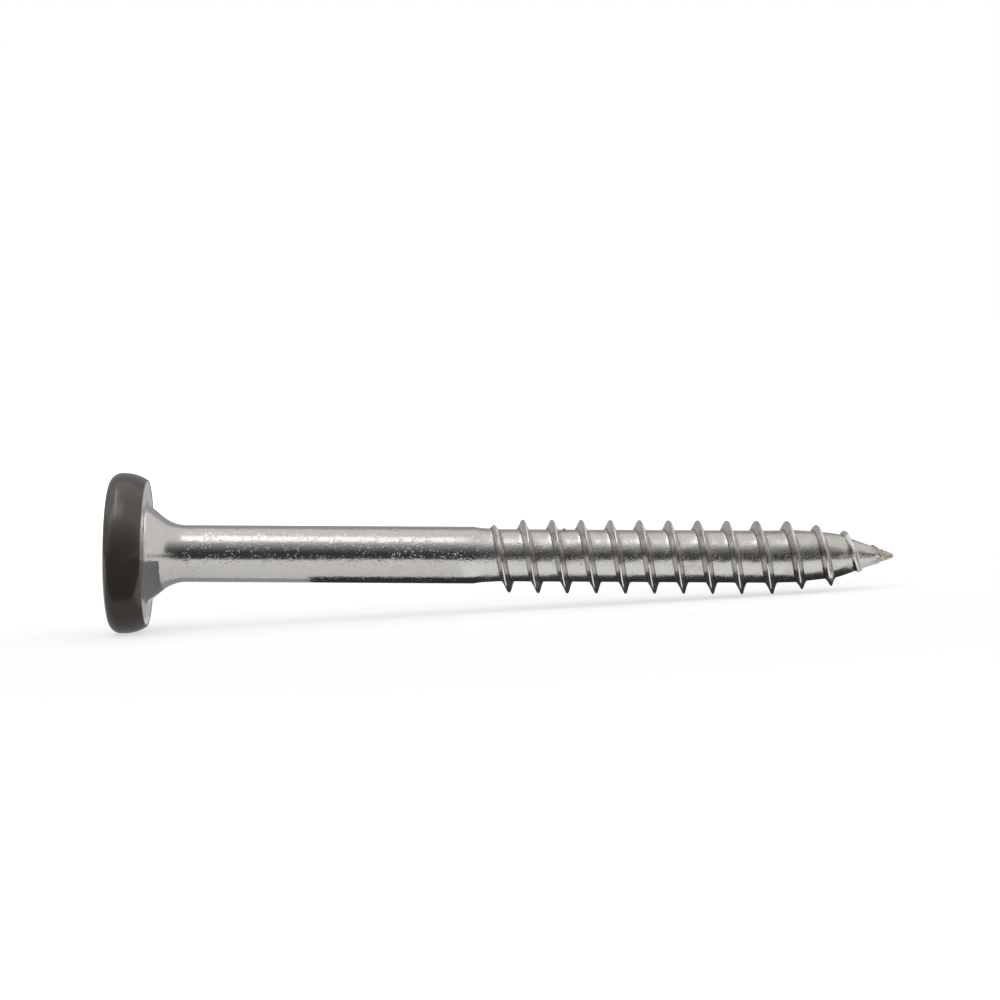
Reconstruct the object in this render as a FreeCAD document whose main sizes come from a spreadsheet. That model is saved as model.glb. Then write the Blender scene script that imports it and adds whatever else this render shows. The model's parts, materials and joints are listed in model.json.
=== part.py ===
"""A deck screw: one piece of steel, headed and thread-rolled, lying as it comes to rest.

The screw is drawn along +X, from the outer face of its head at X = 0 to its point.
The head is a thick flat disc with a rounded rim and a six-lobe drive socket. Under it a flared
neck runs into a plain shank. A narrow, sharp, right-hand ridge winds round the thinner core,
rises out of the shank's end and dies away along the point.
Lengths are in millimetres and angles in degrees.
"""

import FreeCAD, Part
import math
import os

import Sketcher

Vector = FreeCAD.Vector
ROOT_POINT, START, END, CENTRE = 1, 1, 2, 3   # the sketcher's numbers for the points of a curve
H_AXIS, V_AXIS = -1, -2                       # and for a sketch's own axes
LOBES = 6                                     # the drive socket's lobes
RAIL_STEPS = 8                                # points along half a turn of the ridge's rails
RIDGE_SINK = 0.3                              # how deep the ridge's foot is sunk into the core
END_SINK = 0.08                               # and its crest, at the ends of the thread
NARROWEST = 0.35                              # the ridge's width where its height runs out
MIN_THREAD_VOLUME = 40.0                      # a fused thread adds more than this

# Positions along the screw are measured from the outer face of the head.
SIZES = {
    "screw_length": 60.0,            # head face to point
    "head_diameter": 12.3,
    "head_thickness": 2.85,          # head face to the bearing face under the head
    "face_edge_radius": 0.95,        # the rounding between the head's face and its rim
    "rim_straight": 0.15,            # the rim's straight stretch, before it curves in
    "rim_draw_in": 0.52,             # how far the rim curves in before the bearing face
    "neck_diameter": 7.7,            # of the flare, where it leaves the bearing face
    "neck_half_angle": 40.0,
    "neck_fillet_radius": 2.9,
    "shank_diameter": 4.36,
    "shank_end": 27.9,
    "shoulder_length": 0.5,          # the step down from the shank
    "collar_diameter": 4.17,         # at the foot of the step
    "collar_length": 1.4,            # from there to the thread's core, a slow taper
    "core_diameter": 4.0,
    "point_half_angle": 19.6,
    "point_lead_half_angle": 5.5,    # of the gentler cone between the core and the point
    "point_lead_length": 3.2,
    "point_tip_radius": 0.2,
    "crest_diameter": 5.8,
    "thread_pitch": 2.23,
    "thread_lead_in": 0.3,           # from the shank's end to where the ridge comes up
    "thread_start_angle": -101.0,    # where it does so round the axis, from +Y towards +Z
    "run_in_length": 3.0,            # from there to the full height of the ridge
    "taper_start_to_tip": 8.6,       # from where the ridge starts to get lower
    "taper_length": 1.6,
    "point_ridge_height": 0.48,      # of the ridge along the point
    "point_ridge_end_to_tip": 4.2,   # from where it loses that height as well
    "thread_end_to_tip": 1.6,        # from where it has sunk into the point
    "ridge_width": 0.82,             # at the core
    "waist_width": 0.38,             # where its flanks turn steeper
    "waist_height": 0.5,
    "socket_point_diameter": 5.5,    # across the lobes
    "socket_valley_diameter": 3.9,   # across the ribs between them
    "socket_lobe_radius": 0.42,
    "socket_depth": 2.6,
    "socket_cone_diameter": 3.6,     # of the hollow cone in the socket's floor
    "socket_cone_depth": 0.55,
    "socket_edge_chamfer": 0.12,
}

# The arc of a rib is tangent to the lobes on both sides of it and touches the valley diameter.
RIB_RADIUS = """=((socket_point_diameter / 2 - socket_lobe_radius) ^ 2 + (socket_valley_diameter / 2) ^ 2
 - (socket_point_diameter / 2 - socket_lobe_radius) * socket_valley_diameter * cos(30 deg)
 - socket_lobe_radius ^ 2) / (2 * (socket_lobe_radius
 + (socket_point_diameter / 2 - socket_lobe_radius) * cos(30 deg) - socket_valley_diameter / 2))"""


def add_sheet(doc):
    """The spreadsheet that drives the model: one cell and one alias for each size."""
    sheet = doc.addObject("Spreadsheet::Sheet", "sizes")
    for row, (name, value) in enumerate(SIZES.items(), start=1):
        sheet.set(f"A{row}", name)
        sheet.set(f"B{row}", str(value))
        sheet.setAlias(f"B{row}", name)
    row = len(SIZES) + 1
    sheet.set(f"A{row}", "socket_rib_radius")
    sheet.set(f"B{row}", RIB_RADIUS.replace("\n", ""))
    sheet.setAlias(f"B{row}", "socket_rib_radius")
    doc.recompute()
    return sheet


def origin_plane(body, role):
    return next(f for f in body.Origin.OriginFeatures if f.Role == role)


def new_sketch(body, name, role):
    """An empty sketch on one of the body's own origin planes."""
    sketch = body.newObject("Sketcher::SketchObject", name)
    sketch.AttachmentSupport = [(origin_plane(body, role), "")]
    sketch.MapMode = "FlatFace"
    return sketch


def dimension(sketch, constraint, name, expression):
    """Adds a dimension and binds it to an expression in the sheet's sizes."""
    index = sketch.addConstraint(constraint)
    sketch.renameConstraint(index, name)
    sketch.setExpression(f"Constraints.{name}", expression)


def arc(centre, radius, first, last):
    """An arc of a circle between two angles in degrees, counted anticlockwise."""
    circle = Part.Circle(Vector(*centre, 0), Vector(0, 0, 1), radius)
    return Part.ArcOfCircle(circle, math.radians(first), math.radians(last))


def line(start, end):
    return Part.LineSegment(Vector(*start, 0), Vector(*end, 0))


class Outline:
    """Half of the screw's lengthwise section: the radius at each distance along the axis."""

    def __init__(self, size):
        self.rim_radius = size.head_diameter / 2
        self.bearing_radius = self.rim_radius - size.rim_draw_in
        self.shank_radius = size.shank_diameter / 2
        self.core_radius = size.core_diameter / 2
        self.face_radius = self.rim_radius - size.face_edge_radius
        self.thickness = size.head_thickness

        # The rim's long curve leaves the straight stretch and ends at the bearing face.
        self.curve_start = size.face_edge_radius + size.rim_straight
        reach = size.head_thickness - self.curve_start
        self.rim_curve_radius = (reach**2 + size.rim_draw_in**2) / (2 * size.rim_draw_in)
        self.rim_curve_end = math.degrees(math.asin(reach / self.rim_curve_radius))

        # The neck's cone meets the shank in a fillet.
        self.neck_radius = size.neck_diameter / 2
        neck = math.radians(size.neck_half_angle)
        tangent = size.neck_fillet_radius * math.tan(neck / 2)
        corner = size.head_thickness + (self.neck_radius - self.shank_radius) / math.tan(neck)
        self.neck_cone_end = corner - tangent * math.cos(neck)
        self.neck_cone_end_radius = self.shank_radius + tangent * math.sin(neck)
        self.shank_start = corner + tangent

        # The point's cone is tangent to the ball at its tip. A gentler cone leads into it.
        point = math.radians(size.point_half_angle)
        self.slope = math.tan(point)
        self.lead_slope = math.tan(math.radians(size.point_lead_half_angle))
        self.tip_centre = size.screw_length - size.point_tip_radius
        self.apex = self.tip_centre + size.point_tip_radius / math.sin(point)
        self.cone_end = self.tip_centre + size.point_tip_radius * math.sin(point)
        self.cone_end_radius = size.point_tip_radius * math.cos(point)
        self.cone_start_radius = self.core_radius - size.point_lead_length * self.lead_slope
        self.cone_start = self.apex - self.cone_start_radius / self.slope
        self.lead_start = self.cone_start - size.point_lead_length

        # The shank steps down to the collar, which tapers to the core.
        self.collar_start = size.shank_end + size.shoulder_length
        self.collar_radius = size.collar_diameter / 2
        self.core_start = self.collar_start + size.collar_length
        self.collar_taper = (self.collar_radius - self.core_radius) / size.collar_length

        # The thread's own places along the screw.
        self.thread_start = size.shank_end + size.thread_lead_in
        self.taper_start = size.screw_length - size.taper_start_to_tip
        self.point_ridge_end = size.screw_length - size.point_ridge_end_to_tip
        self.thread_end = size.screw_length - size.thread_end_to_tip

    def core_at(self, position):
        """The radius under the thread: collar, core, lead and cone."""
        if position < self.core_start:
            return self.core_radius + (self.core_start - position) * self.collar_taper
        if position < self.lead_start:
            return self.core_radius
        if position < self.cone_start:
            return self.core_radius - (position - self.lead_start) * self.lead_slope
        return max((self.apex - position) * self.slope, 0.0)


def add_profile(body, size, outline):
    """The half section that is revolved: face, rim, bearing face, neck, shank, core and point."""
    sketch = new_sketch(body, "profile", "XY_Plane")
    edge, neck, point = size.face_edge_radius, size.neck_half_angle, size.point_half_angle
    face_end = (0, outline.face_radius)
    rim_start = (edge, outline.rim_radius)
    rim_end = (outline.curve_start, outline.rim_radius)
    bearing_outside = (size.head_thickness, outline.bearing_radius)
    bearing_inside = (size.head_thickness, outline.neck_radius)
    neck_end = (outline.neck_cone_end, outline.neck_cone_end_radius)
    shank_start = (outline.shank_start, outline.shank_radius)
    shank_end = (size.shank_end, outline.shank_radius)
    collar_start = (outline.collar_start, outline.collar_radius)
    core_start = (outline.core_start, outline.core_radius)
    core_end = (outline.lead_start, outline.core_radius)
    cone_start = (outline.cone_start, outline.cone_start_radius)
    cone_end = (outline.cone_end, outline.cone_end_radius)
    tip = (size.screw_length, 0)
    rim_curve_centre = (outline.curve_start, outline.rim_radius - outline.rim_curve_radius)
    fillet_centre = (outline.shank_start, outline.shank_radius + size.neck_fillet_radius)

    # Each curve, with the number of its end that comes first on the way from face to point.
    parts = {
        "face": (line((0, 0), face_end), START),
        "face_edge": (arc((edge, outline.face_radius), edge, 90, 180), END),
        "rim": (line(rim_start, rim_end), START),
        "rim_curve": (
            arc(rim_curve_centre, outline.rim_curve_radius, 90 - outline.rim_curve_end, 90), END),
        "bearing": (line(bearing_outside, bearing_inside), START),
        "neck": (line(bearing_inside, neck_end), START),
        "neck_fillet": (arc(fillet_centre, size.neck_fillet_radius, 270 - neck, 270), START),
        "shank": (line(shank_start, shank_end), START),
        "shoulder": (line(shank_end, collar_start), START),
        "collar": (line(collar_start, core_start), START),
        "core": (line(core_start, core_end), START),
        "lead": (line(core_end, cone_start), START),
        "cone": (line(cone_start, cone_end), START),
        "tip": (arc((outline.tip_centre, 0), size.point_tip_radius, 0, 90 - point), END),
        "axis": (line(tip, (0, 0)), START),
    }
    index = {name: sketch.addGeometry(curve, False) for name, (curve, _) in parts.items()}
    first = {name: start for name, (_, start) in parts.items()}
    last = {name: START + END - start for name, start in first.items()}

    smooth = {("face", "face_edge"), ("face_edge", "rim"), ("rim", "rim_curve"), ("neck", "neck_fillet"),
              ("neck_fillet", "shank"), ("cone", "tip")}
    names = list(parts)
    for here, after in zip(names, names[1:] + names[:1]):
        kind = "Tangent" if (here, after) in smooth else "Coincident"
        sketch.addConstraint(
            Sketcher.Constraint(kind, index[here], last[here], index[after], first[after]))
    for name in ("rim", "shank", "core", "axis"):
        sketch.addConstraint(Sketcher.Constraint("Horizontal", index[name]))
    for name in ("face", "bearing"):
        sketch.addConstraint(Sketcher.Constraint("Vertical", index[name]))
    sketch.addConstraint(
        Sketcher.Constraint("Coincident", index["face"], START, H_AXIS, ROOT_POINT))
    sketch.addConstraint(Sketcher.Constraint("PointOnObject", index["tip"], CENTRE, H_AXIS))

    def along(name, curve, end, value, expression):
        constraint = Sketcher.Constraint("DistanceX", H_AXIS, ROOT_POINT, index[curve], end, value)
        dimension(sketch, constraint, name, expression)

    def across(name, curve, end, value, expression):
        constraint = Sketcher.Constraint("DistanceY", H_AXIS, ROOT_POINT, index[curve], end, value)
        dimension(sketch, constraint, name, expression)

    def rounding(name, curve, value, expression):
        dimension(sketch, Sketcher.Constraint("Radius", index[curve], value), name, expression)

    along("length", "axis", START, size.screw_length, "sizes.screw_length")
    along("thickness", "bearing", START, size.head_thickness, "sizes.head_thickness")
    along("shank_end_at", "shank", END, size.shank_end, "sizes.shank_end")
    along("collar_from", "collar", START, outline.collar_start,
          "sizes.shank_end + sizes.shoulder_length")
    along("core_from", "core", START, outline.core_start,
          "sizes.shank_end + sizes.shoulder_length + sizes.collar_length")
    across("rim_radius", "rim", START, outline.rim_radius, "sizes.head_diameter / 2")
    across("bearing_radius", "bearing", START, outline.bearing_radius,
           "sizes.head_diameter / 2 - sizes.rim_draw_in")
    across("neck_radius", "bearing", END, outline.neck_radius, "sizes.neck_diameter / 2")
    across("shank_radius", "shank", END, outline.shank_radius, "sizes.shank_diameter / 2")
    across("collar_radius", "collar", START, outline.collar_radius, "sizes.collar_diameter / 2")
    across("core_radius", "core", START, outline.core_radius, "sizes.core_diameter / 2")
    rounding("edge_radius", "face_edge", edge, "sizes.face_edge_radius")
    rounding("fillet_radius", "neck_fillet", size.neck_fillet_radius, "sizes.neck_fillet_radius")
    rounding("tip_radius", "tip", size.point_tip_radius, "sizes.point_tip_radius")
    straight = Sketcher.Constraint(
        "DistanceX", index["rim"], START, index["rim"], END, size.rim_straight)
    dimension(sketch, straight, "straight", "sizes.rim_straight")
    neck_angle = Sketcher.Constraint("Angle", index["neck"], math.radians(-neck))
    dimension(sketch, neck_angle, "neck_angle", "-sizes.neck_half_angle * 1 deg")
    point_angle = Sketcher.Constraint("Angle", index["cone"], math.radians(-point))
    dimension(sketch, point_angle, "point_angle", "-sizes.point_half_angle * 1 deg")
    lead_angle = Sketcher.Constraint(
        "Angle", index["lead"], math.radians(-size.point_lead_half_angle))
    dimension(sketch, lead_angle, "lead_angle", "-sizes.point_lead_half_angle * 1 deg")
    lead_length = Sketcher.Constraint(
        "DistanceX", index["lead"], START, index["lead"], END, size.point_lead_length)
    dimension(sketch, lead_length, "lead_length", "sizes.point_lead_length")
    return sketch


def add_socket_outline(body, size):
    """The socket's outline: six lobes, with ribs between them that are tangent to the lobes."""
    sketch = new_sketch(body, "socket_outline", "YZ_Plane")
    lobe_distance = size.socket_point_diameter / 2 - size.socket_lobe_radius
    rib_distance = size.socket_valley_diameter / 2 + size.socket_rib_radius
    half_step = 180 / LOBES
    aside = rib_distance * math.sin(math.radians(half_step))
    outward = rib_distance * math.cos(math.radians(half_step)) - lobe_distance
    lobe_span = math.degrees(math.atan2(aside, outward))
    rib_span = lobe_span - half_step

    lobes, ribs = [], []
    for number in range(LOBES):
        angle = 90 + 2 * half_step * number
        rib_angle = angle + half_step
        lobe_centre = on_circle(lobe_distance, angle)
        rib_centre = on_circle(rib_distance, rib_angle)
        lobe = arc(lobe_centre, size.socket_lobe_radius, angle - lobe_span, angle + lobe_span)
        rib = arc(rib_centre, size.socket_rib_radius,
                  rib_angle + 180 - rib_span, rib_angle + 180 + rib_span)
        lobes.append(sketch.addGeometry(lobe, False))
        ribs.append(sketch.addGeometry(rib, False))
    for number, (lobe, rib) in enumerate(zip(lobes, ribs)):
        following = lobes[(number + 1) % LOBES]
        sketch.addConstraint(Sketcher.Constraint("Tangent", lobe, END, rib, END))
        sketch.addConstraint(Sketcher.Constraint("Tangent", rib, START, following, START))
        if number > 0:
            sketch.addConstraint(Sketcher.Constraint("Equal", lobes[0], lobe))
            sketch.addConstraint(Sketcher.Constraint("Equal", ribs[0], rib))
        angle = 90 + 2 * half_step * number
        x, y = on_circle(lobe_distance, angle)
        distance = "(sizes.socket_point_diameter / 2 - sizes.socket_lobe_radius)"
        up = Sketcher.Constraint("DistanceY", H_AXIS, ROOT_POINT, lobe, CENTRE, y)
        dimension(sketch, up, f"lobe_up_{number}", f"{distance} * sin({angle} deg)")
        if number % (LOBES // 2) == 0:
            sketch.addConstraint(Sketcher.Constraint("PointOnObject", lobe, CENTRE, V_AXIS))
        else:
            along = Sketcher.Constraint("DistanceX", H_AXIS, ROOT_POINT, lobe, CENTRE, x)
            dimension(sketch, along, f"lobe_aside_{number}", f"{distance} * cos({angle} deg)")
    lobe_radius = Sketcher.Constraint("Radius", lobes[0], size.socket_lobe_radius)
    dimension(sketch, lobe_radius, "lobe_radius", "sizes.socket_lobe_radius")
    rib_radius = Sketcher.Constraint("Radius", ribs[0], size.socket_rib_radius)
    dimension(sketch, rib_radius, "rib_radius", "sizes.socket_rib_radius")
    return sketch


def add_socket_cone(body, size):
    """Half the section of the hollow cone that the punch leaves in the socket's floor."""
    sketch = new_sketch(body, "socket_cone_outline", "XZ_Plane")
    centre = (size.socket_depth, 0)
    rim = (size.socket_depth, size.socket_cone_diameter / 2)
    deepest = (size.socket_depth + size.socket_cone_depth, 0)
    floor = sketch.addGeometry(line(centre, rim), False)
    slope = sketch.addGeometry(line(rim, deepest), False)
    axis = sketch.addGeometry(line(deepest, centre), False)
    for here, after in ((floor, slope), (slope, axis), (axis, floor)):
        sketch.addConstraint(Sketcher.Constraint("Coincident", here, END, after, START))
    sketch.addConstraint(Sketcher.Constraint("Vertical", floor))
    for end in (START, END):
        sketch.addConstraint(Sketcher.Constraint("PointOnObject", axis, end, H_AXIS))
    depth = Sketcher.Constraint("DistanceX", H_AXIS, ROOT_POINT, floor, START, size.socket_depth)
    dimension(sketch, depth, "depth", "sizes.socket_depth")
    radius = Sketcher.Constraint("DistanceY", floor, START, floor, END, rim[1])
    dimension(sketch, radius, "radius", "sizes.socket_cone_diameter / 2")
    cone = Sketcher.Constraint("DistanceX", floor, START, slope, END, size.socket_cone_depth)
    dimension(sketch, cone, "cone_depth", "sizes.socket_cone_depth")
    return sketch


def on_circle(radius, angle):
    return radius * math.cos(math.radians(angle)), radius * math.sin(math.radians(angle))


def ease(progress):
    """Goes from 0 to 1 with a level start and a level end."""
    progress = min(max(progress, 0.0), 1.0)
    return progress * progress * (3 - 2 * progress)


def ridge_pieces(size, outline):
    """The thread, half a turn at a time: a sharp ridge between five rails that wind round the core.

    Its foot is sunk into the core, so that fusing them leaves the flanks rising from the core.
    """
    full_height = (size.crest_diameter - size.core_diameter) / 2
    flank = (size.ridge_width - size.waist_width) / 2 / size.waist_height
    foot = size.ridge_width / 2 + RIDGE_SINK * flank
    waist = size.waist_width / 2
    waist_level = (RIDGE_SINK + size.waist_height) / (RIDGE_SINK + full_height)
    corners = [(-foot, 0.0), (-waist, waist_level), (0.0, 1.0), (waist, waist_level), (foot, 0.0)]
    fade_length = outline.thread_end - outline.point_ridge_end

    def height_at(position):
        """The ridge's height over the core, just under it at both of the ridge's ends."""
        rise = ease((position - outline.thread_start) / size.run_in_length)
        taper = ease((position - outline.taper_start) / size.taper_length)
        fade = ease((position - outline.point_ridge_end) / fade_length)
        height = full_height - (full_height - size.point_ridge_height) * taper
        return (height + END_SINK) * rise * (1 - fade) - END_SINK

    def corner_at(turn, aside, level):
        middle = outline.thread_start + size.thread_pitch * turn
        height = height_at(middle) + RIDGE_SINK
        narrowing = NARROWEST + (1 - NARROWEST) * height / (full_height + RIDGE_SINK)
        position = middle + aside * narrowing
        radius = outline.core_at(position) - RIDGE_SINK + height * level
        return Vector(position, *on_circle(radius, size.thread_start_angle + 360 * turn))

    def rail(first_turn, last_turn, corner):
        """One corner of the ridge's section, along one piece of the thread."""
        step = (last_turn - first_turn) / RAIL_STEPS
        points = [corner_at(first_turn + step * n, *corner) for n in range(RAIL_STEPS + 1)]
        ahead = corner_at(first_turn + step / 50, *corner) - points[0]
        behind = points[-1] - corner_at(last_turn - step / 50, *corner)
        curve = Part.BSplineCurve()
        curve.interpolate(
            Points=points, Parameters=[float(n) for n in range(RAIL_STEPS + 1)],
            InitialTangent=ahead * 50, FinalTangent=behind * 50, Scale=False)
        return curve.toShape()

    turns = (outline.thread_end - outline.thread_start) / size.thread_pitch
    pieces = []
    for number in range(math.ceil(turns * 2)):
        first_turn, last_turn = number / 2, min((number + 1) / 2, turns)
        rails = [rail(first_turn, last_turn, corner) for corner in corners]
        faces = [Part.makeRuledSurface(a, b) for a, b in zip(rails, rails[1:] + rails[:1])]
        for end in (0, -1):
            section = [edge.Vertexes[end].Point for edge in rails]
            faces.append(Part.Face(Part.makePolygon(section + section[:1])))
        shell = Part.makeShell(faces)
        shell.sewShape()
        solid = Part.Solid(shell)
        if solid.Volume < 0:
            solid.reverse()
        pieces.append(solid)
    return pieces


def resting_placement(size, outline):
    """Lays the screw down on the rim of its head and on its last crest of full height.

    The model's origin is then the centre of the bearing face, and its +Z points up.
    """
    downwards = -90
    lowest = outline.thread_start + size.thread_pitch * (downwards - size.thread_start_angle) / 360
    pitches = math.floor((outline.taper_start - lowest) / size.thread_pitch)
    contact = lowest + size.thread_pitch * pitches
    drop = outline.rim_radius - size.crest_diameter / 2
    tilt = math.degrees(math.atan2(drop, contact - outline.curve_start))
    turned = FreeCAD.Placement(Vector(), FreeCAD.Rotation(Vector(0, 1, 0), tilt))
    shifted = FreeCAD.Placement(Vector(-size.head_thickness, 0, 0), FreeCAD.Rotation())
    return turned.multiply(shifted), tilt


def check(doc):
    """Stops the build at anything invalid or not solved."""
    for item in doc.Objects:
        bad = [state for state in item.State if state in ("Invalid", "Error")]
        if bad:
            raise RuntimeError(f"{item.Name}: {bad}")
        if item.TypeId == "Sketcher::SketchObject" and item.solve() != 0:
            raise RuntimeError(f"{item.Name} has no solution")


def build():
    os.makedirs("parts", exist_ok=True)
    doc = FreeCAD.newDocument("deck_screw")
    size = add_sheet(doc)
    outline = Outline(size)

    body = doc.addObject("PartDesign::Body", "blank")
    profile = add_profile(body, size, outline)
    blank = body.newObject("PartDesign::Revolution", "turned_form")
    blank.Profile = profile
    blank.ReferenceAxis = (profile, ["H_Axis"])
    blank.Angle = 360
    profile.Visibility = False
    doc.recompute()
    solid_volume = blank.Shape.Volume

    pocket = body.newObject("PartDesign::Pocket", "drive_socket")
    pocket.Profile = add_socket_outline(body, size)
    pocket.Reversed = True
    pocket.setExpression("Length", "sizes.socket_depth")
    doc.recompute()
    if pocket.Shape.Volume > solid_volume - 1:
        raise RuntimeError("the socket has cut nothing")

    cone_outline = add_socket_cone(body, size)
    cone = body.newObject("PartDesign::Groove", "socket_cone")
    cone.Profile = cone_outline
    cone.ReferenceAxis = (cone_outline, ["H_Axis"])
    cone.Angle = 360
    doc.recompute()
    if cone.Shape.Volume > pocket.Shape.Volume - 0.5:
        raise RuntimeError("the socket's cone has cut nothing")

    mouth = [
        f"Edge{number}" for number, edge in enumerate(cone.Shape.Edges, start=1)
        if edge.BoundBox.XMax < 1e-6 and edge.BoundBox.ZLength < size.socket_point_diameter / 2
    ]
    edge = body.newObject("PartDesign::Chamfer", "socket_edge")
    edge.Base = (cone, mouth)
    edge.setExpression("Size", "sizes.socket_edge_chamfer")
    body.Tip = edge
    doc.recompute()

    ridge = []
    for number, solid in enumerate(ridge_pieces(size, outline), start=1):
        piece = doc.addObject("Part::Feature", f"thread_half_turn_{number}")
        piece.Shape = solid
        ridge.append(piece)
    screw = doc.addObject("Part::MultiFuse", "screw")
    screw.Label = "screw"
    screw.Shapes = [body] + ridge
    screw.Refine = True
    doc.recompute()
    if screw.Shape.Volume < body.Shape.Volume + MIN_THREAD_VOLUME:
        raise RuntimeError("the thread is missing from the fused screw")
    screw.Placement, tilt = resting_placement(size, outline)
    doc.recompute()
    check(doc)

    shape = screw.Shape
    if shape.isNull() or not shape.isValid() or len(shape.Solids) != 1:
        raise RuntimeError("screw is not one valid solid")
    shape.exportStep("parts/screw.step")
    box = shape.BoundBox
    print("tilt", round(tilt, 3), "volume", round(shape.Volume, 1), "faces", len(shape.Faces))
    print("box", [round(v, 3) for v in (box.XMin, box.YMin, box.ZMin, box.XMax, box.YMax, box.ZMax)])
    print("centre of mass", [round(v, 2) for v in shape.Solids[0].CenterOfMass])


build()
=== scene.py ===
# %% [markdown]
# # A deck screw on a pale table
#
# The screw is one piece of steel. It starts as a length of wire. A press forms its thick head, the socket
# and the flared neck, and two grooved plates roll the thread into the other half. Last, only the head gets
# a brown coat, so that it won't show on a wooden deck.
#
# We dress it in two pieces: the bare steel and the coat on the head. This first cell loads the plain model
# that gives us the sizes and the place where the screw lies.

# %% Load the frame
import json
import math

import bmesh
import bpy
from mathutils import Matrix, Vector, noise


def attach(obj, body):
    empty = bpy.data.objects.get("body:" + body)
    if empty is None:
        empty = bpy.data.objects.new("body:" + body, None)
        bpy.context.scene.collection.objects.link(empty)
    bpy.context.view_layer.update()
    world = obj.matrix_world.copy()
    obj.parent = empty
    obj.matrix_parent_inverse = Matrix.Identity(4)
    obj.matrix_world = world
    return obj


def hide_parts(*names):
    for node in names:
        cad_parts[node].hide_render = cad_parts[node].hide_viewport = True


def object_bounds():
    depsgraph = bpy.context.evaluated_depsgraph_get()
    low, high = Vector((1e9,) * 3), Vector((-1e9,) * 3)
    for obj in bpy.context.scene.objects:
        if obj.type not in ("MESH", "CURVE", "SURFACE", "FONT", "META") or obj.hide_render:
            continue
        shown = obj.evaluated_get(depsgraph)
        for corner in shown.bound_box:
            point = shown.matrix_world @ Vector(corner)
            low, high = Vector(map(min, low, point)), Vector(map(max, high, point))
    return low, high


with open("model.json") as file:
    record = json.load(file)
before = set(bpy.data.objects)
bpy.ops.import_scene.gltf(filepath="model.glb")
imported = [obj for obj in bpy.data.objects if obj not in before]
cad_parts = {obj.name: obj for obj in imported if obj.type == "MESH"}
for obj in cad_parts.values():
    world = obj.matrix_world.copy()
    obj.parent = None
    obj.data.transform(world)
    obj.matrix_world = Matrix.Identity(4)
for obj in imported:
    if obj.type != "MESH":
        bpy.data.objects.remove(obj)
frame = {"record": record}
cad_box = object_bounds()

MM = 0.001
print("model box in mm:", [[round(value / MM, 2) for value in corner] for corner in cad_box])

# %% [markdown]
# ## Where the screw lies
#
# A screw on a table rests on the rim of its head and on the crest of its thread, so it lies at a small
# angle. It is far easier to draw it along the X axis, with the outer face of the head at zero, and to lay
# the finished mesh down afterwards. The model's own record says which way the shank points, and from that
# we get the matrix that lays every mesh down.

# %% From the drawing to the table
HEAD_THICKNESS = 2.85
shank_mount = next(mount for mount in frame["record"]["mounts"] if mount["name"] == "shank")
shank_axis = Vector(shank_mount["axis"])
lie = math.atan2(-shank_axis.z, shank_axis.x)
lay_down = Matrix.Rotation(lie, 4, "Y") @ Matrix.Translation((-HEAD_THICKNESS * MM, 0, 0))
print(f"the screw's axis falls {math.degrees(lie):.2f} degrees towards its point")

# %% [markdown]
# ## The outline, in millimetres
#
# These are the sizes of the half section, the same as in the model: distances along the screw from the
# face of the head, and radii. The neck, the shank and the point follow from them with a little geometry.

# %% Sizes of the outline
RIM_RADIUS = 6.15
FACE_EDGE = 0.95
RIM_STRAIGHT = 0.15
RIM_DRAW_IN = 0.52
NECK_RADIUS = 3.85
NECK_DEGREES = 40
NECK_HALF_ANGLE = math.radians(NECK_DEGREES)
NECK_FILLET = 2.9
SHANK_RADIUS = 2.18
SHANK_END = 27.9
COLLAR_FROM = 28.4
COLLAR_RADIUS = 2.085
CORE_FROM = 29.8
CORE_RADIUS = 2.0
LENGTH = 60.0
POINT_HALF_ANGLE = math.radians(19.6)
LEAD_SLOPE = math.tan(math.radians(5.5))
LEAD_LENGTH = 3.2
TIP_RADIUS = 0.2
POINT_SLOPE = math.tan(POINT_HALF_ANGLE)
tip_centre = LENGTH - TIP_RADIUS
point_apex = tip_centre + TIP_RADIUS / math.sin(POINT_HALF_ANGLE)
cone_from = point_apex - (CORE_RADIUS - LEAD_LENGTH * LEAD_SLOPE) / POINT_SLOPE
lead_from = cone_from - LEAD_LENGTH
bearing_radius = RIM_RADIUS - RIM_DRAW_IN
curve_from = FACE_EDGE + RIM_STRAIGHT
curve_reach = HEAD_THICKNESS - curve_from
curve_radius = (curve_reach**2 + RIM_DRAW_IN**2) / (2 * RIM_DRAW_IN)
curve_angle = math.degrees(math.asin(curve_reach / curve_radius))
print(f"rim curve {curve_radius:.2f} mm over {curve_angle:.0f} degrees, lead from {lead_from:.2f} mm")

# %% [markdown]
# ## Rings, poles and skins
#
# Everything but the thread is turned: the same outline all the way round. A lathe in code is a stack of
# rings, with a strip of four-sided faces between each ring and the next. Where the outline meets the axis,
# a fan of triangles closes the end. A finished mesh gets its normals recalculated, so that every face
# points outwards, and its sharp corners are marked where two faces meet at more than 35 degrees.

# %% Helpers for rings
SEGMENTS = 144
SHARP_FROM = math.radians(35)
WELD = 0.0005


def arc_points(centre, radius, first, last, steps):
    """Points on an arc in the outline, with angles in degrees from the screw's direction outwards."""
    points = []
    for step in range(steps + 1):
        angle = math.radians(first + (last - first) * step / steps)
        points.append((centre[0] + radius * math.cos(angle), centre[1] + radius * math.sin(angle)))
    return points


def ring(along, radius):
    """One ring of the lathe: points round the axis at that place along it."""
    angles = (math.tau * number / SEGMENTS for number in range(SEGMENTS))
    return [(along, radius * math.cos(angle), radius * math.sin(angle)) for angle in angles]


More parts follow.
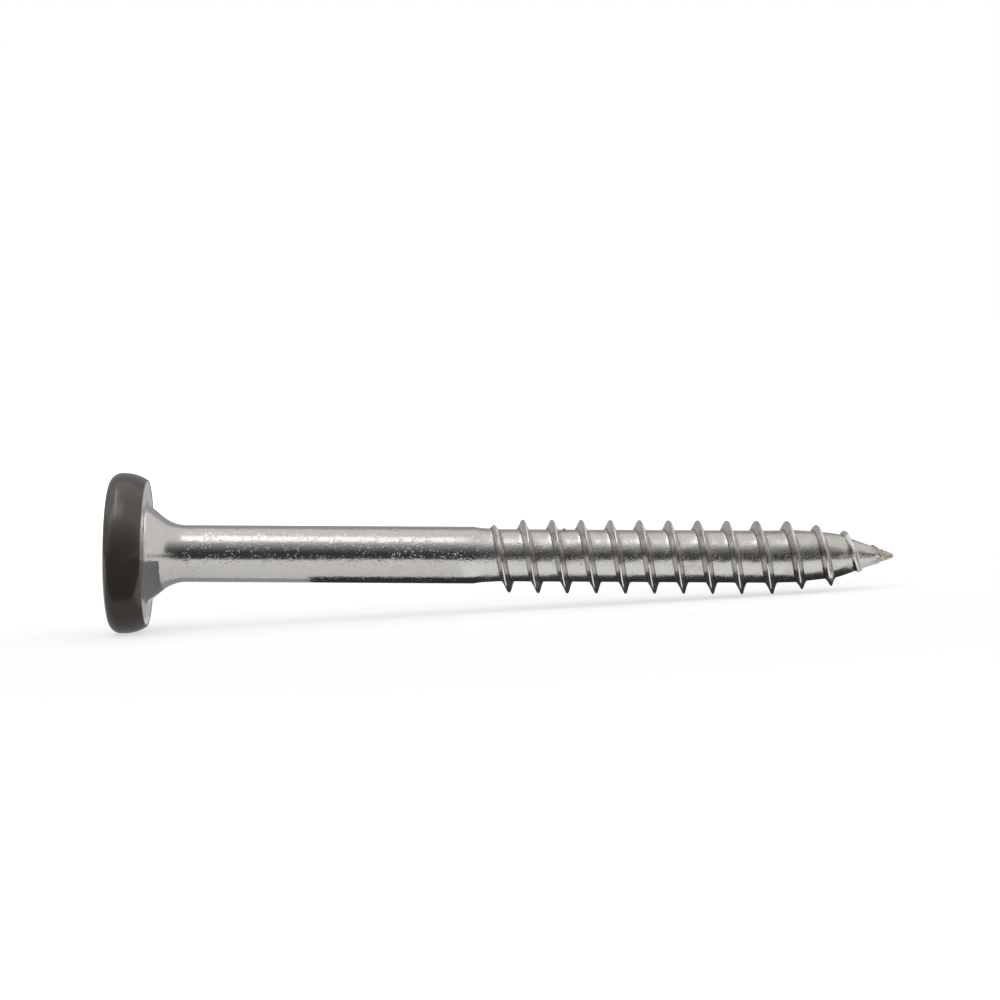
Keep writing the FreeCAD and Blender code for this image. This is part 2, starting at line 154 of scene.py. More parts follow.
def skin(mesh, rings, first_pole=None, last_pole=None):
    """Adds the rings to a bmesh and closes the ends that have a pole on the axis."""
    rows = [[mesh.verts.new(point) for point in points] for points in rings]
    for here, after in zip(rows, rows[1:]):
        for number in range(SEGMENTS):
            following = (number + 1) % SEGMENTS
            mesh.faces.new((here[number], here[following], after[following], after[number]))
    for pole, row in ((first_pole, rows[0]), (last_pole, rows[-1])):
        if pole is not None:
            tip = mesh.verts.new((pole, 0, 0))
            for number in range(SEGMENTS):
                mesh.faces.new((row[number], row[(number + 1) % SEGMENTS], tip))


def finish_mesh(name, mesh):
    """Turns a bmesh in millimetres into a smooth mesh in metres, lying as the screw lies."""
    bmesh.ops.remove_doubles(mesh, verts=mesh.verts, dist=WELD)
    bmesh.ops.recalc_face_normals(mesh, faces=mesh.faces)
    data = bpy.data.meshes.new(name)
    mesh.to_mesh(data)
    mesh.free()
    data.transform(lay_down @ Matrix.Scale(MM, 4))
    data.shade_smooth()
    data.set_sharp_from_angle(angle=SHARP_FROM)
    return data


def add_object(name, data):
    """Puts a mesh, a lamp or a camera into the scene under that name."""
    thing = bpy.data.objects.new(name, data)
    bpy.context.collection.objects.link(thing)
    return thing


# %% [markdown]
# ## The socket's outline
#
# The driver's bit fits a hole with six rounded lobes. Seen from the axis, its wall is one curve that goes
# in and out six times: part of a small circle at each lobe, and part of a larger circle between two lobes.
# So one function can say how far away the wall is in any direction. The rings of the socket use it in
# place of a plain radius, and crowd their points a little towards the lobes, where the wall turns fastest.

# %% The six-lobe wall
LOBES = 6
LOBE_RADIUS = 0.42
LOBE_TIP = 2.75
RIB_TOP = 1.95
SOCKET_DEPTH = 2.6
SOCKET_CONE_RADIUS = 1.8
SOCKET_CONE_DEPTH = 0.55
MOUTH_ROUND = 0.2
LOBE_CROWDING = 0.5
half_step = math.pi / LOBES
lobe_distance = LOBE_TIP - LOBE_RADIUS
rib_radius = (lobe_distance**2 + RIB_TOP**2 - 2 * lobe_distance * RIB_TOP * math.cos(half_step)
              - LOBE_RADIUS**2) / (2 * (LOBE_RADIUS + lobe_distance * math.cos(half_step) - RIB_TOP))
rib_distance = RIB_TOP + rib_radius
turn = math.atan2(rib_distance * math.sin(half_step), rib_distance * math.cos(half_step) - lobe_distance)
lobe_ends = math.atan2(LOBE_RADIUS * math.sin(turn), lobe_distance + LOBE_RADIUS * math.cos(turn))


def wall_distance(angle):
    """How far the socket's wall is from the axis in that direction. One lobe points straight up."""
    off_lobe = (angle - math.pi / 2 + half_step) % (2 * half_step) - half_step
    if abs(off_lobe) < lobe_ends:
        across = lobe_distance * math.sin(off_lobe)
        return lobe_distance * math.cos(off_lobe) + math.sqrt(LOBE_RADIUS**2 - across**2)
    off_rib = half_step - abs(off_lobe)
    across = rib_distance * math.sin(off_rib)
    return rib_distance * math.cos(off_rib) - math.sqrt(rib_radius**2 - across**2)


def socket_ring(along, wider=0.0, round_radius=0.0, roundness=0.0):
    """A ring that follows the wall, or lies between the wall and a plain circle."""
    points = []
    for number in range(SEGMENTS):
        angle = math.tau * number / SEGMENTS
        crowding = LOBE_CROWDING * (1 - roundness)
        angle -= crowding * math.sin(LOBES * (angle - math.pi / 2)) / LOBES
        wall = wall_distance(angle) + wider
        radius = wall + (round_radius - wall) * roundness
        points.append((along, radius * math.cos(angle), radius * math.sin(angle)))
    return points


print(f"the wall is {2 * wall_distance(math.pi / 2):.2f} mm across the lobes, "
      f"{2 * wall_distance(math.pi / 2 + half_step):.2f} mm across the ribs")

# %% [markdown]
# ## The head
#
# The head's rings run from the middle of the socket's floor, up the wall, over the mouth, across the face
# and round the rim to the bearing face. The coat and the steel under it have the same form, one just
# below the other, so one function makes both: it takes the depth under the outer surface.

# %% The head's rings
FACE_RINGS = 5


def head_rings(depth):
    """Rings from the socket's floor to the outer edge of the bearing face, that deep under the surface."""
    floor = SOCKET_DEPTH + depth
    rings = [ring(floor + SOCKET_CONE_DEPTH * 0.5, SOCKET_CONE_RADIUS * 0.5)]
    rings.append(ring(floor, SOCKET_CONE_RADIUS))
    for roundness in (0.5, 0.0):
        rings.append(socket_ring(floor, depth, SOCKET_CONE_RADIUS, roundness))
    for level in (0.66, 0.33):
        rings.append(socket_ring(MOUTH_ROUND + (floor - MOUTH_ROUND) * level, depth))
    for along, wider in arc_points((MOUTH_ROUND, MOUTH_ROUND), MOUTH_ROUND - depth, 270, 180, 5):
        rings.append(socket_ring(along, wider))
    face_radius = RIM_RADIUS - FACE_EDGE
    for number in range(1, FACE_RINGS):
        rings.append(socket_ring(depth, MOUTH_ROUND, face_radius, number / FACE_RINGS))
    outline = arc_points((FACE_EDGE, face_radius), FACE_EDGE - depth, 180, 90, 10)
    curve_centre = (curve_from, RIM_RADIUS - curve_radius)
    outline += arc_points(curve_centre, curve_radius - depth, 90, 90 - curve_angle, 10)
    rings += [ring(along, radius) for along, radius in outline]
    return rings


# %% [markdown]
# ## The brown coat
#
# The coat is a thin closed shell: an outer skin, an inner skin a twentieth of a millimetre below it, and a
# rounded lip where it stops at the edge of the bearing face. A Solidify modifier could thicken a single
# skin, but here both skins come from the same function, so they can't cross in the tight socket.

# %% Make the coat
COAT = 0.05
LIP_WIDTH = 0.09
LIP_RISE = 0.012
LIP_ROUND = 0.03
LIP_TUCK = 0.02

outer = head_rings(0.0)
inner = head_rings(COAT)
lip = [ring(HEAD_THICKNESS + LIP_RISE, bearing_radius - LIP_ROUND),
       ring(HEAD_THICKNESS + LIP_RISE, bearing_radius - LIP_WIDTH),
       ring(HEAD_THICKNESS - COAT, bearing_radius - LIP_WIDTH - LIP_TUCK)]
mesh = bmesh.new()
cone_tip = SOCKET_DEPTH + SOCKET_CONE_DEPTH
skin(mesh, outer + lip + inner[::-1], first_pole=cone_tip, last_pole=cone_tip + COAT)
coat = add_object("head_coat", finish_mesh("head_coat", mesh))
print("coat:", len(coat.data.polygons), "faces")

# %% [markdown]
# ## The forged blank
#
# Next comes the steel without its thread: the head under the coat, the flat bearing face, a small fillet,
# the neck and the shank down to the collar where the thread begins, and apart from that the last bit of
# the point. The stretch between them is left open. The thread fills it in a later step.
#
# The steel's head reaches a hundredth of a millimetre into the coat's shell, so that no gap shows.

# %% Turn the blank
UNDER_COAT = COAT * 0.8
BEARING_RINGS = (5.3, 5.0, 4.6)
UNDER_HEAD_FILLET = 0.7
NECK_SQUARE = 270 - NECK_DEGREES
SHANK_RINGS = 12
STEP_EDGE = 0.08
STEP_ROUNDING = 0.01
COLLAR_ROUNDING = 0.012
THREAD_TO = 59.2
TIP_RINGS = (THREAD_TO, 59.4, 59.65)
TIP_FIRST_ANGLE = 90 - math.degrees(POINT_HALF_ANGLE)
TIP_LAST_ANGLE = 12

# NECK_SQUARE is the direction square to the flare, in degrees. The fillets on both sides of it end there.
neck_tangent = NECK_FILLET * math.tan(NECK_HALF_ANGLE / 2)
neck_corner = HEAD_THICKNESS + (NECK_RADIUS - SHANK_RADIUS) / math.tan(NECK_HALF_ANGLE)
shank_from = neck_corner + neck_tangent
under_head = UNDER_HEAD_FILLET * math.tan(math.radians((90 - NECK_DEGREES) / 2))
fillet_centre = (HEAD_THICKNESS + UNDER_HEAD_FILLET, NECK_RADIUS + under_head)
outline = [(HEAD_THICKNESS, radius) for radius in BEARING_RINGS]
outline += arc_points(fillet_centre, UNDER_HEAD_FILLET, 180, NECK_SQUARE, 6)
outline += arc_points((shank_from, SHANK_RADIUS + NECK_FILLET), NECK_FILLET, NECK_SQUARE, 270, 14)
for step in range(1, SHANK_RINGS):
    outline.append((shank_from + (SHANK_END - shank_from) * step / SHANK_RINGS, SHANK_RADIUS))
outline += [(SHANK_END - STEP_EDGE, SHANK_RADIUS), (SHANK_END, SHANK_RADIUS - STEP_ROUNDING)]
outline += [(COLLAR_FROM - STEP_EDGE, COLLAR_RADIUS + COLLAR_ROUNDING), (COLLAR_FROM, COLLAR_RADIUS)]
blank_rings = head_rings(UNDER_COAT) + [ring(along, radius) for along, radius in outline]

tip_outline = [(along, (point_apex - along) * POINT_SLOPE) for along in TIP_RINGS]
tip_outline += arc_points((tip_centre, 0), TIP_RADIUS, TIP_FIRST_ANGLE, TIP_LAST_ANGLE, 6)
tip_rings = [ring(along, radius) for along, radius in tip_outline]

mesh = bmesh.new()
skin(mesh, blank_rings, first_pole=cone_tip + UNDER_COAT)
skin(mesh, tip_rings, last_pole=LENGTH)
blank_data = bpy.data.meshes.new("blank")
mesh.to_mesh(blank_data)
mesh.free()
blank = add_object("screw_steel", blank_data)
print("blank:", len(blank_data.polygons), "faces, shank from", round(shank_from, 2), "mm")

# %% [markdown]
# ## The thread, by a rule
#
# A thread is the same short section again and again, a little further round and a little further along
# each time. That is a rule, so Geometry Nodes can make it from a plain grid. Each row of the grid becomes
# one section: half a pitch of core, the sharp ridge, half a pitch of core. Row after row goes round the
# axis, and after one full turn a row has moved along by one pitch, so its edge meets the edge of the turn
# before. Merge by Distance then closes the seam. Rows that would run past the collar or the point are
# held at the ends of the stretch, where they close up into a ring that fits the blank's ring.
#
# A few small helpers add a node, do sums on fields and make a soft ramp. They serve the materials too.

# %% Helpers for node trees


def add(tree, kind, inputs=None, **settings):
    """Adds a node. An input is given a value, or the socket that feeds it."""
    node = tree.nodes.new(kind)
    for name, value in settings.items():
        setattr(node, name, value)
    for name, value in (inputs or {}).items():
        if isinstance(value, bpy.types.NodeSocket):
            tree.links.new(value, node.inputs[name])
        else:
            node.inputs[name].default_value = value
    return node


def calc(tree, operation, *values):
    """A Math node's result."""
    return add(tree, "ShaderNodeMath", dict(enumerate(values)), operation=operation).outputs[0]


def repeated(operation):
    """A helper that joins two or more values by that operation, from left to right."""
    def joined_up(tree, first, *others):
        for value in others:
            first = calc(tree, operation, first, value)
        return first
    return joined_up


plus = repeated("ADD")
minus = repeated("SUBTRACT")
times = repeated("MULTIPLY")


def ramp(tree, value, low, high, start=0.0, end=1.0, smooth=True):
    """Goes from start to end while value goes from low to high."""
    return add(tree, "ShaderNodeMapRange", {
        "Value": value, "From Min": low, "From Max": high, "To Min": start, "To Max": end,
    }, interpolation_type="SMOOTHSTEP" if smooth else "LINEAR").outputs["Result"]


# %% [markdown]
# ## Sizes of the thread
#
# Each size is an input of the tree with its own name, so it can be tried out in the modifier's panel. Most
# are the model's. The last four follow this one screw: its crest is uneven, is blunted on top and leans a
# little below, and near the point its turns lie slightly further along.

# %% Named sizes of the thread
PITCH = 2.23
THREAD_FROM = 28.2
THREAD_FROM_ANGLE = -101.0
RIDGE_HEIGHT = 0.9
RIDGE_SINK = 0.3
END_SINK = 0.08
FOOT_HALF_WIDTH = 0.41
FOOT_SLOPE = 0.44
ROWS_PER_TURN = SEGMENTS
COLUMNS = 21
ridge_at_zero = THREAD_FROM - PITCH * THREAD_FROM_ANGLE / 360
thread_sizes = {
    "Pitch": PITCH,
    "Ridge at angle zero": ridge_at_zero,
    "From": COLLAR_FROM,
    "To": THREAD_TO,
    "Core radius": CORE_RADIUS,
    "Core from": CORE_FROM,
    "Collar taper": (COLLAR_RADIUS - CORE_RADIUS) / (CORE_FROM - COLLAR_FROM),
    "Lead from": lead_from,
    "Lead slope": LEAD_SLOPE,
    "Point apex": point_apex,
    "Point slope": POINT_SLOPE,
    "Ridge height": RIDGE_HEIGHT,
    "Point ridge height": 0.6,
    "Ridge from": THREAD_FROM,
    "Full height from": THREAD_FROM + 2.6,
    "Taper from": 51.4,
    "Taper to": 53.0,
    "Fade from": 55.8,
    "Fade to": 57.4,
    "Kept on the point": 0.42,
    "End from": 58.2,
    "Foot": FOOT_HALF_WIDTH + RIDGE_SINK * FOOT_SLOPE,
    "Unevenness": 0.07,
    "Blunted on top": 0.14,
    "Stretch at the point": 0.18,
    "Lean below": 0.1,
}
first_row = math.floor((COLLAR_FROM - PITCH / 2 - ridge_at_zero) / PITCH * ROWS_PER_TURN) - 1
last_row = math.ceil((THREAD_TO + PITCH / 2 - ridge_at_zero) / PITCH * ROWS_PER_TURN) + 1
print(f"rows of the thread: {last_row - first_row}, {(last_row - first_row) / ROWS_PER_TURN:.1f} turns")

# %% [markdown]
# ## From the grid to rows
#
# The tree begins with its named inputs and a flat grid. Across the grid, a point's place says how far it
# is beside the crest, and the columns crowd together there, where the section is sharpest. Up the grid is
# the row: it gives the angle round the axis and the distance along it.

# %% Lay out the rows
STRETCH_REACH = 3.5

tree = thread_tree = bpy.data.node_groups.new("rolled thread", "GeometryNodeTree")
tree.interface.new_socket("Geometry", in_out="INPUT", socket_type="NodeSocketGeometry")
for name in thread_sizes:
    tree.interface.new_socket(name, in_out="INPUT", socket_type="NodeSocketFloat")
tree.interface.new_socket("Steel", in_out="INPUT", socket_type="NodeSocketMaterial")
tree.interface.new_socket("Geometry", in_out="OUTPUT", socket_type="NodeSocketGeometry")
given = add(tree, "NodeGroupInput").outputs

# The grid goes from -0.5 to 0.5 both ways. The row is rounded, because rows are counted in whole numbers.
row_count = last_row - first_row + 1
grid = add(tree, "GeometryNodeMeshGrid", {
    "Size X": 1.0, "Size Y": 1.0, "Vertices X": COLUMNS, "Vertices Y": row_count})
on_grid = add(tree, "ShaderNodeSeparateXYZ", {0: add(tree, "GeometryNodeInputPosition").outputs[0]})
across = times(tree, on_grid.outputs[0], 2.0)
from_first = times(tree, plus(tree, on_grid.outputs[1], 0.5), row_count - 1.0)
row = calc(tree, "ROUND", plus(tree, from_first, float(first_row)))
angle = times(tree, row, math.tau / ROWS_PER_TURN)

# Columns crowd towards the crest: their distance from it grows with the square.
crowded = times(tree, across, calc(tree, "ABSOLUTE", across))
aside = times(tree, crowded, times(tree, given["Pitch"], 0.5))
turns = calc(tree, "DIVIDE", row, float(ROWS_PER_TURN))
even = calc(tree, "MULTIPLY_ADD", turns, given["Pitch"], given["Ridge at angle zero"])
stretch_from = minus(tree, given["Taper from"], STRETCH_REACH)


def stretched(evenly):
    """The place along the screw, which runs slightly ahead near the point."""
    share = ramp(tree, evenly, stretch_from, given["Taper to"])
    return calc(tree, "MULTIPLY_ADD", share, given["Stretch at the point"], evenly)


middle = stretched(even)
beside = stretched(plus(tree, even, aside))
along = calc(tree, "MINIMUM", calc(tree, "MAXIMUM", beside, given["From"]), given["To"])
print("nodes that lay out the rows:", len(tree.nodes))

# %% [markdown]
# ## The core and the ridge
#
# The radius is a sum. The core follows the model: collar, cylinder, a gentle lead and the cone of the
# point. The ridge stands on it. Its height rises from the collar, gets lower near the point and fades out
# along it. A Float Curve holds its section: a narrow land at the crest, steep upper flanks and flatter
# ones down to the foot.

# %% Shape the core and the ridge
LEAD_BLEND = 0.6
CONE_BLEND = 0.15
FOOT_BLEND = 0.12
LAND_END = (0.12, 1.0)
FLANK_KNEE = (0.35, 0.667)

before_core = calc(tree, "MAXIMUM", minus(tree, given["Core from"], along), 0.0)
collar = times(tree, before_core, given["Collar taper"])
leading = calc(tree, "SMOOTH_MAX", minus(tree, along, given["Lead from"]), 0.0, LEAD_BLEND)
core = minus(tree, plus(tree, given["Core radius"], collar), times(tree, leading, given["Lead slope"]))
cone = times(tree, minus(tree, given["Point apex"], along), given["Point slope"])
core = calc(tree, "SMOOTH_MIN", core, cone, CONE_BLEND)

# The ridge's height over the core. At both ends it sinks a little below the core and is hidden.
rise = ramp(tree, middle, given["Ridge from"], given["Full height from"])
taper = ramp(tree, middle, given["Taper from"], given["Taper to"])
fading = ramp(tree, middle, given["Fade from"], given["Fade to"], 1.0, given["Kept on the point"])
ending = ramp(tree, middle, given["End from"], given["To"], 1.0, 0.0)
lost = times(tree, minus(tree, given["Ridge height"], given["Point ridge height"]), taper)
whole = plus(tree, minus(tree, given["Ridge height"], lost), END_SINK)
height = minus(tree, times(tree, whole, rise, times(tree, fading, ending)), END_SINK)

# The section starts below the core too, so that the flanks meet it at a clear angle.
section = add(tree, "ShaderNodeFloatCurve", {
    "Value": calc(tree, "DIVIDE", calc(tree, "ABSOLUTE", aside), given["Foot"])})
curve = section.mapping.curves[0]
curve.points[0].location = (0.0, 1.0)
curve.points[1].location = (1.0, 0.0)
for corner in (LAND_END, FLANK_KNEE):
    curve.points.new(*corner)
for point in curve.points:
    point.handle_type = "VECTOR"
section.mapping.update()
ridge = minus(tree, times(tree, section.outputs[0], plus(tree, height, RIDGE_SINK)), RIDGE_SINK)
ridge = calc(tree, "SMOOTH_MAX", ridge, 0.0, FOOT_BLEND)
crest = calc(tree, "DIVIDE", ridge, given["Ridge height"])
print("nodes with the core and the ridge:", len(tree.nodes))

# %% [markdown]
# ## Round the axis
#
# Crests are never quite even, so noise raises and lowers the ridge. It is read on a cylinder, so that the
# seam still matches. Then the sine and cosine of the angle bring every point to its place round the axis.
# Two attributes are kept for the material: how near a point is to the crest, and how far it is beside it.

# %% Wind the rows and weld the seam
WAVE_SCALE = 1.6
WAVE_LEVEL = 0.65
SEAM_WELD = 0.0006

sine = calc(tree, "SINE", angle)
cosine = calc(tree, "COSINE", angle)
on_cylinder = add(tree, "ShaderNodeCombineXYZ", {0: along, 1: cosine, 2: sine}).outputs[0]
waves = add(tree, "ShaderNodeTexNoise", {"Vector": on_cylinder, "Scale": WAVE_SCALE, "Detail": 3.0})
uneven = times(tree, minus(tree, waves.outputs[0], WAVE_LEVEL), given["Unevenness"])
blunted = times(tree, ramp(tree, sine, 0.1, 1.0), given["Blunted on top"])
change = times(tree, minus(tree, uneven, blunted), crest)
radius = plus(tree, core, ridge, change)
lean = times(tree, ramp(tree, sine, 0.0, -1.0), given["Lean below"])
wound = add(tree, "ShaderNodeCombineXYZ", {
    0: calc(tree, "MULTIPLY_ADD", lean, crest, along),
    1: times(tree, radius, cosine),
    2: times(tree, radius, sine)}).outputs[0]

kept = grid.outputs["Mesh"]
for name, field in (("crest", crest), ("aside", aside)):
    kept = add(tree, "GeometryNodeStoreNamedAttribute", {
        "Geometry": kept, "Name": name, "Value": field}, data_type="FLOAT", domain="POINT").outputs[0]
bent = add(tree, "GeometryNodeSetPosition", {"Geometry": kept, "Position": wound})
joined = add(tree, "GeometryNodeJoinGeometry")
tree.links.new(given["Geometry"], joined.inputs[0])
tree.links.new(bent.outputs[0], joined.inputs[0])
merged = add(tree, "GeometryNodeMergeByDistance", {"Geometry": joined.outputs[0], "Distance": SEAM_WELD})
real = add(tree, "GeometryNodeRealizeInstances", {"Geometry": merged.outputs[0]})
painted = add(tree, "GeometryNodeSetMaterial", {"Geometry": real.outputs[0], "Material": given["Steel"]})
add(tree, "NodeGroupOutput", {"Geometry": painted.outputs[0]})
print("nodes in the whole tree:", len(tree.nodes))

# %% [markdown]
# ## Worked surfaces
#
# Neither the steel nor the coat is perfectly smooth. Pressing and tumbling leave shallow dents with thin
# walls between them, a fine grain and small pits, and handling adds a few deeper nicks. Both finishes
# share these marks, so they are one node group with a size and depths. The group puts out only what
# varies over the surface: a height for the bump, and the grain as a mask. The shader itself stays in each
# material.

# %% The shared marks
WARP_REACH = 0.9

marks = bpy.data.node_groups.new("worked surface", "ShaderNodeTree")
marks.interface.new_socket("Vector", in_out="INPUT", socket_type="NodeSocketVector")
for name in ("Dent size", "Dent depth", "Dents everywhere", "Grain depth", "Pit depth", "Nick depth"):
    marks.interface.new_socket(name, in_out="INPUT", socket_type="NodeSocketFloat")
for name in ("Height", "Grain"):
    marks.interface.new_socket(name, in_out="OUTPUT", socket_type="NodeSocketFloat")
given = add(marks, "NodeGroupInput").outputs


def scaled(tree, vector, size):
    """The vector in units of that size."""
    factor = calc(tree, "DIVIDE", 1.0, size) if isinstance(size, bpy.types.NodeSocket) else 1.0 / size
    return add(tree, "ShaderNodeVectorMath", {0: vector, "Scale": factor}, operation="SCALE").outputs[0]


# Dents are cells with walls between them. Noise shifts them, so that the walls aren't straight. From here
# on, lengths are counted in dents.
dented = scaled(marks, given["Vector"], given["Dent size"])
warp = add(marks, "ShaderNodeTexNoise", {"Vector": dented, "Scale": 1.3, "Detail": 2.0})
warped = scaled(marks, warp.outputs["Color"], 1 / WARP_REACH)
shifted = add(marks, "ShaderNodeVectorMath", {0: dented, 1: warped}, operation="ADD").outputs[0]
cells = add(marks, "ShaderNodeTexVoronoi", {"Vector": shifted, "Scale": 1.0}, feature="DISTANCE_TO_EDGE")
walls = ramp(marks, cells.outputs["Distance"], 0.0, 0.3)

# They come in patches, unless the material wants them everywhere.
patches = add(marks, "ShaderNodeTexNoise", {"Vector": dented, "Scale": 0.4, "Detail": 3.0})
kept = calc(marks, "MAXIMUM", ramp(marks, patches.outputs[0], 0.47, 0.62), given["Dents everywhere"])
dents = times(marks, walls, kept, given["Dent depth"])

# The grain is weaker outside the patches. The pits keep to the patches and spread a little round them.
grain = add(marks, "ShaderNodeTexNoise", {"Vector": dented, "Scale": 2.4, "Detail": 2.0, "Roughness": 0.5})
grain_share = calc(marks, "MULTIPLY_ADD", kept, 0.7, 0.3)
grains = times(marks, grain.outputs[0], given["Grain depth"], grain_share)
pores = add(marks, "ShaderNodeTexVoronoi", {"Vector": dented, "Scale": 1.4})
pits = times(marks, ramp(marks, pores.outputs["Distance"], 0.34, 0.05),
             ramp(marks, patches.outputs[0], 0.36, 0.56), given["Pit depth"])

# Nicks are far apart, at the centres of much larger cells.
spots = add(marks, "ShaderNodeTexVoronoi", {"Vector": shifted, "Scale": 0.17})
nicks = times(marks, ramp(marks, spots.outputs["Distance"], 0.1, 0.0), given["Nick depth"])
height = minus(marks, plus(marks, dents, grains), pits, nicks)
add(marks, "NodeGroupOutput", {"Height": height, "Grain": grain.outputs[0]})
print("marks group:", len(marks.nodes), "nodes")

# %% [markdown]
# ## Bright steel
#
# The steel is one material, but it was worked in three ways. The flare under the head is pressed and has
# fine rings round it. The shank is drawn wire, bright and lightly pitted. The thread was rolled between
# dies, which burnished its flanks. So each number of the finish has three values, and two masks along the
# screw lead from one to the next without a border.
#
# Patterns are placed in the screw's own direction: a Mapping node turns the object's coordinates by the
# angle at which the screw lies, so that X runs along it from the face of the head.

# %% Tell flare, shank and thread apart
FLARE_WHOLE = 4.6
FLARE_GONE = 6.4


def along_the_screw(tree):
    """Object coordinates, turned so that X runs along the screw from the face of its head."""
    coordinates = add(tree, "ShaderNodeTexCoord").outputs["Object"]
    return add(tree, "ShaderNodeMapping", {
        "Vector": coordinates, "Rotation": (0, -lie, 0), "Location": (HEAD_THICKNESS * MM, 0, 0),
    }).outputs[0]


steel_material = bpy.data.materials.new("bright steel")
steel_material.use_nodes = True
tree = steel_material.node_tree
shader = tree.nodes["Principled BSDF"]
shader.inputs["Metallic"].default_value = 1.0
vector = along_the_screw(tree)
from_head = add(tree, "ShaderNodeSeparateXYZ", {0: vector}).outputs["X"]
is_flare = ramp(tree, from_head, FLARE_GONE * MM, FLARE_WHOLE * MM)
is_thread = ramp(tree, from_head, SHANK_END * MM, COLLAR_FROM * MM)
crest = add(tree, "ShaderNodeAttribute", attribute_name="crest").outputs["Fac"]
aside = add(tree, "ShaderNodeAttribute", attribute_name="aside").outputs["Fac"]


def by_place(flare, shank, thread):
    """A number that differs on the flare, the shank and the thread."""
    on_shank = calc(tree, "MULTIPLY_ADD", is_flare, flare - shank, shank)
    return calc(tree, "MULTIPLY_ADD", is_thread, thread - shank, on_shank)


print("steel:", len(tree.nodes), "nodes so far")

# %% [markdown]
# ## The steel's relief
#
# The bump is a sum of heights: the shared marks, a slow swell, rings round the screw and streaks along the
# ridge. They are true heights in metres, so the Bump node's own numbers stay at one. The dies burnished
# the flanks, so dents, grain and pits are nearly gone there.

# %% Add up the relief
DENT_SIZE = 0.26
NICK_DEPTH = 0.02
MARK_DEPTHS = {
    "Dent depth": (0.002, 0.0045, 0.004),
    "Grain depth": (0.001, 0.008, 0.0035),
    "Pit depth": (0.0, 0.022, 0.014),
}
RING_WIDTH = 0.13
STREAK_WIDTH = 0.07
STREAK_LENGTH = 0.9
STREAK_DEPTH = 0.008
SWELL_WIDTH = 0.9

flank = ramp(tree, crest, 0.05, 0.3)
off_flanks = minus(tree, 1.0, times(tree, flank, 0.85))
marked = add(tree, "ShaderNodeGroup", node_tree=marks)
tree.links.new(vector, marked.inputs["Vector"])
marked.inputs["Dent size"].default_value = DENT_SIZE * MM
marked.inputs["Nick depth"].default_value = NICK_DEPTH * MM
for name, depths in MARK_DEPTHS.items():
    by_finish = by_place(*(depth * MM for depth in depths))
    tree.links.new(times(tree, off_flanks, by_finish), marked.inputs[name])
tree.links.new(by_place(0.3, 0.12, 0.25), marked.inputs["Dents everywhere"])

# Rings: noise that changes fast along the screw and slowly round it. They are deepest on the flare.
ring_vector = add(tree, "ShaderNodeVectorMath", {
    0: scaled(tree, vector, RING_WIDTH * MM), 1: (1.0, 0.05, 0.05)}, operation="MULTIPLY").outputs[0]
ring_noise = add(tree, "ShaderNodeTexNoise", {"Vector": ring_vector, "Scale": 1.0, "Detail": 1.0})
rings_height = times(tree, ring_noise.outputs[0], by_place(0.007 * MM, 0.001 * MM, 0.001 * MM))

# Streaks: noise that changes fast across the ridge and slowly along it. The attribute is in millimetres.
streak_vector = add(tree, "ShaderNodeCombineXYZ", {
    0: calc(tree, "DIVIDE", aside, STREAK_WIDTH),
    1: calc(tree, "DIVIDE", from_head, STREAK_LENGTH * MM)}).outputs[0]
streaks = add(tree, "ShaderNodeTexNoise", {"Vector": streak_vector, "Scale": 1.0, "Detail": 2.0})
streak_height = times(tree, streaks.outputs[0], flank, STREAK_DEPTH * MM)

# The swell: a slow waviness that the tumbling leaves, most of all on the thread.
swell_noise = add(tree, "ShaderNodeTexNoise", {
    "Vector": scaled(tree, vector, SWELL_WIDTH * MM), "Scale": 1.0, "Detail": 0.0})
swell = times(tree, swell_noise.outputs[0], by_place(0.0, 0.004 * MM, 0.05 * MM))
height = plus(tree, marked.outputs["Height"], swell, rings_height, streak_height)
bump = add(tree, "ShaderNodeBump", {"Height": height, "Distance": 1.0, "Strength": 1.0})
tree.links.new(bump.outputs[0], shader.inputs["Normal"])
print("steel:", len(tree.nodes), "nodes so far")

# %% [markdown]
# ## The steel's colour
#
# A metal tints what it mirrors with its base colour. The burnished flanks are brighter than the core. A
# brown film lies in stains, on the crests and at the very tip. A dark line of painted shade follows the
# ridge's foot, the crease where it meets the core. The roughness varies with the grain.

# %% Colour the steel
STAIN_SIZE = 1.2
CORE_STEEL = (0.52, 0.508, 0.495, 1)
BURNISHED_STEEL = (0.66, 0.645, 0.625, 1)
BROWN_FILM = (0.27, 0.225, 0.155, 1)
PAINTED_FOOT_SHADE = (0.2, 0.19, 0.175, 1)
BROWN_TIP_FROM = 57.8


def mixed(tree, factor, first, second):
    """A colour between the two. The first shows where the factor is 0, the second where it is 1.

    A Mix node has a socket for each kind of data. Inputs 6 and 7 and output 2 are the ones for colours.
    """
    return add(tree, "ShaderNodeMix", {"Factor": factor, 6: first, 7: second}, data_type="RGBA").outputs[2]


stains = add(tree, "ShaderNodeTexNoise", {
    "Vector": scaled(tree, vector, STAIN_SIZE * MM), "Scale": 1.0, "Detail": 4.0})
film = plus(tree, ramp(tree, stains.outputs[0], 0.5, 0.75), ramp(tree, crest, 0.6, 1.0, 0.0, 0.35))
at_the_tip = times(tree, ramp(tree, from_head, BROWN_TIP_FROM * MM, THREAD_TO * MM),
                   ramp(tree, marked.outputs["Grain"], 0.42, 0.58))
browned = plus(tree, times(tree, film, by_place(0.25, 0.05, 0.3)), at_the_tip)
# Painted shade: a thin dark line in the crease at the ridge's foot, where the flank meets the core.
painted_foot_shade = times(tree, ramp(tree, crest, 0.02, 0.06), ramp(tree, crest, 0.1, 0.26, 1.0, 0.0))
burnished = mixed(tree, flank, CORE_STEEL, BURNISHED_STEEL)
filmed = mixed(tree, browned, burnished, BROWN_FILM)
with_painted_foot_shade = mixed(tree, times(tree, painted_foot_shade, 0.75), filmed, PAINTED_FOOT_SHADE)
tree.links.new(with_painted_foot_shade, shader.inputs["Base Color"])
